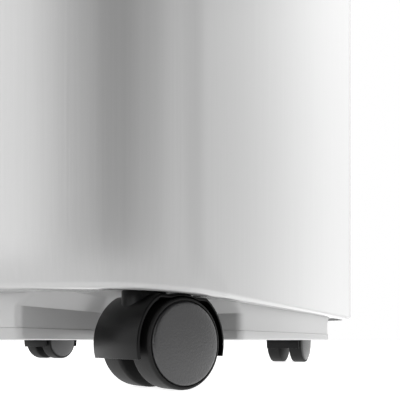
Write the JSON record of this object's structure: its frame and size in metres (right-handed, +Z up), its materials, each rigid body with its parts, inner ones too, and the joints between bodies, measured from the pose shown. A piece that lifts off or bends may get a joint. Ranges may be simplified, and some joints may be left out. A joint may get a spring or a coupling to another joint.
{
  "type": "room dehumidifier",
  "caption": "Bow-fronted room dehumidifier on four hooded twin-wheel swivel casters, with a pull-out tank, rear filter, top outlet flap, folding carry handle and hose spout.",
  "frame": {"origin": "middle of the cabinet's footprint, on the floor under the wheels", "axes": "+Z up, the bowed front faces -Y, +X to the right of someone facing the front"},
  "size_m": [0.395, 0.318, 0.6106],
  "materials": {
    "body_white": "satin-gloss moulded ABS, very fine grain",
    "trim_white": "satin moulded plastic",
    "grey_plastic": "satin moulded plastic",
    "dark_plastic": "moulded plastic",
    "caster_black": "moulded nylon, soft gloss",
    "wheel_black": "fine-grained moulded nylon",
    "rubber_black": "soft rubber",
    "galvanised": "galvanised sheet",
    "steel": "zinc-plated steel",
    "motor_metal": "painted steel can",
    "compressor_black": "gloss black enamel",
    "coil_aluminium": "bare aluminium fins",
    "copper": "drawn copper tube",
    "circuit_green": "solder-masked board",
    "display_black": "smoked acrylic",
    "level_clear": "tinted clear plastic",
    "tank_clear": "translucent polypropylene",
    "float_foam": "closed-cell foam",
    "filter_net": "woven nylon net",
    "key_white": "satin keys"
  },
  "bodies": {
    "root": {"base_pan": "trim_white", "plinth_skirt": "trim_white", "front_panel": "body_white", "side_panel_right": "body_white", "side_panel_left": "body_white", "rear_cover": "body_white", "top_cover": "body_white", "control_panel": "trim_white", "display_window": "display_black", "outlet_grille": "grey_plastic", "tank_bay": "grey_plastic", "drip_tray": "grey_plastic", "evaporator": "coil_aluminium", "condenser": "coil_aluminium", "fan_scroll": "galvanised", "fan_motor": "motor_metal", "compressor": "compressor_black", "compressor_feet": "rubber_black", "compressor_bolts": "steel", "copper_pipes": "copper", "control_board": "circuit_green", "capacitor": "galvanised", "tank_switch": "dark_plastic", "drain_spout": "trim_white", "cord_gland": "rubber_black", "caster_sockets": "steel", "case_screws": "steel", "chassis_frame": "galvanised"},
    "fan": {"fan_wheel": "dark_plastic"},
    "tank": {"tank_bucket": "tank_clear", "tank_front": "body_white", "level_window": "level_clear", "tank_lid": "grey_plastic"},
    "float": {"float_arm": "float_foam"},
    "filter": {"filter_frame": "trim_white", "filter_mesh": "filter_net"},
    "louver": {"outlet_louver": "body_white"},
    "handle": {"carry_handle": "grey_plastic"},
    "power_key": {"power_button": "key_white"},
    "mode_key": {"mode_button": "key_white"},
    "fan_key": {"fan_button": "key_white"},
    "timer_key": {"timer_button": "key_white"},
    "up_key": {"up_button": "key_white"},
    "down_key": {"down_button": "key_white"},
    "caster_front_right": {"caster_front_right_hood": "caster_black", "caster_front_right_axle": "steel"},
    "caster_front_right_right": {"caster_front_right_wheel_right": "wheel_black"},
    "caster_front_right_left": {"caster_front_right_wheel_left": "wheel_black"},
    "caster_front_left": {"caster_front_left_hood": "caster_black", "caster_front_left_axle": "steel"},
    "caster_front_left_right": {"caster_front_left_wheel_right": "wheel_black"},
    "caster_front_left_left": {"caster_front_left_wheel_left": "wheel_black"},
    "caster_rear_right": {"caster_rear_right_hood": "caster_black", "caster_rear_right_axle": "steel"},
    "caster_rear_right_right": {"caster_rear_right_wheel_right": "wheel_black"},
    "caster_rear_right_left": {"caster_rear_right_wheel_left": "wheel_black"},
    "caster_rear_left": {"caster_rear_left_hood": "caster_black", "caster_rear_left_axle": "steel"},
    "caster_rear_left_right": {"caster_rear_left_wheel_right": "wheel_black"},
    "caster_rear_left_left": {"caster_rear_left_wheel_left": "wheel_black"}
  },
  "joints": [
    {"name": "fan_spin", "type": "hinge", "parent": "root", "child": "fan", "pos_m": [0, 0.034, 0.44], "axis": [0, 1, 0], "continuous": true},
    {"name": "tank_slide", "type": "slide", "parent": "root", "child": "tank", "axis": [0, -1, 0], "range_m": [0, 0.19]},
    {"name": "float_hinge", "type": "hinge", "parent": "tank", "child": "float", "pos_m": [0, 0.022, 0.26], "axis": [-1, 0, 0], "range_deg": [0, 12]},
    {"name": "filter_slide", "type": "slide", "parent": "root", "child": "filter", "axis": [0, 1, 0], "range_m": [0, 0.06]},
    {"name": "louver_hinge", "type": "hinge", "parent": "root", "child": "louver", "pos_m": [0, 0.064, 0.608], "axis": [-1, 0, 0], "range_deg": [0, 75]},
    {"name": "handle_hinge", "type": "hinge", "parent": "root", "child": "handle", "pos_m": [0, 0.134, 0.6005], "axis": [-1, 0, 0], "range_deg": [0, 90]},
    {"name": "power_press", "type": "slide", "parent": "root", "child": "power_key", "axis": [0, 0, -1], "range_m": [0, 0.001], "stiffness_N_per_m": 400, "springref_m": -0.0005},
    {"name": "mode_press", "type": "slide", "parent": "root", "child": "mode_key", "axis": [0, 0, -1], "range_m": [0, 0.001], "stiffness_N_per_m": 400, "springref_m": -0.0005},
    {"name": "fan_press", "type": "slide", "parent": "root", "child": "fan_key", "axis": [0, 0, -1], "range_m": [0, 0.001], "stiffness_N_per_m": 400, "springref_m": -0.0005},
    {"name": "timer_press", "type": "slide", "parent": "root", "child": "timer_key", "axis": [0, 0, -1], "range_m": [0, 0.001], "stiffness_N_per_m": 400, "springref_m": -0.0005},
    {"name": "up_press", "type": "slide", "parent": "root", "child": "up_key", "axis": [0, 0, -1], "range_m": [0, 0.001], "stiffness_N_per_m": 400, "springref_m": -0.0005},
    {"name": "down_press", "type": "slide", "parent": "root", "child": "down_key", "axis": [0, 0, -1], "range_m": [0, 0.001], "stiffness_N_per_m": 400, "springref_m": -0.0005},
    {"name": "caster_front_right_swivel", "type": "hinge", "parent": "root", "child": "caster_front_right", "pos_m": [0.14, -0.109, 0.05], "axis": [0, 0, 1], "continuous": true},
    {"name": "caster_front_right_right_roll", "type": "hinge", "parent": "caster_front_right", "child": "caster_front_right_right", "pos_m": [0.14315, -0.10057, 0.019], "axis": [0.9367, -0.3502, 0], "continuous": true},
    {"name": "caster_front_right_left_roll", "type": "hinge", "parent": "caster_front_right", "child": "caster_front_right_left", "pos_m": [0.14315, -0.10057, 0.019], "axis": [0.9367, -0.3502, 0], "continuous": true},
    {"name": "caster_front_left_swivel", "type": "hinge", "parent": "root", "child": "caster_front_left", "pos_m": [-0.14, -0.109, 0.05], "axis": [0, 0, 1], "continuous": true},
    {"name": "caster_front_left_right_roll", "type": "hinge", "parent": "caster_front_left", "child": "caster_front_left_right", "pos_m": [-0.14218, -0.10027, 0.019], "axis": [0.9703, 0.2419, 0], "continuous": true},
    {"name": "caster_front_left_left_roll", "type": "hinge", "parent": "caster_front_left", "child": "caster_front_left_left", "pos_m": [-0.14218, -0.10027, 0.019], "axis": [0.9703, 0.2419, 0], "continuous": true},
    {"name": "caster_rear_right_swivel", "type": "hinge", "parent": "root", "child": "caster_rear_right", "pos_m": [0.14, 0.123, 0.05], "axis": [0, 0, 1], "continuous": true},
    {"name": "caster_rear_right_right_roll", "type": "hinge", "parent": "caster_rear_right", "child": "caster_rear_right_right", "pos_m": [0.14031, 0.132, 0.019], "axis": [0.9994, -0.0349, 0], "continuous": true},
    {"name": "caster_rear_right_left_roll", "type": "hinge", "parent": "caster_rear_right", "child": "caster_rear_right_left", "pos_m": [0.14031, 0.132, 0.019], "axis": [0.9994, -0.0349, 0], "continuous": true},
    {"name": "caster_rear_left_swivel", "type": "hinge", "parent": "root", "child": "caster_rear_left", "pos_m": [-0.14, 0.123, 0.05], "axis": [0, 0, 1], "continuous": true},
    {"name": "caster_rear_left_right_roll", "type": "hinge", "parent": "caster_rear_left", "child": "caster_rear_left_right", "pos_m": [-0.14, 0.132, 0.019], "axis": [1, 0, 0], "continuous": true},
    {"name": "caster_rear_left_left_roll", "type": "hinge", "parent": "caster_rear_left", "child": "caster_rear_left_left", "pos_m": [-0.14, 0.132, 0.019], "axis": [1, 0, 0], "continuous": true}
  ]
}
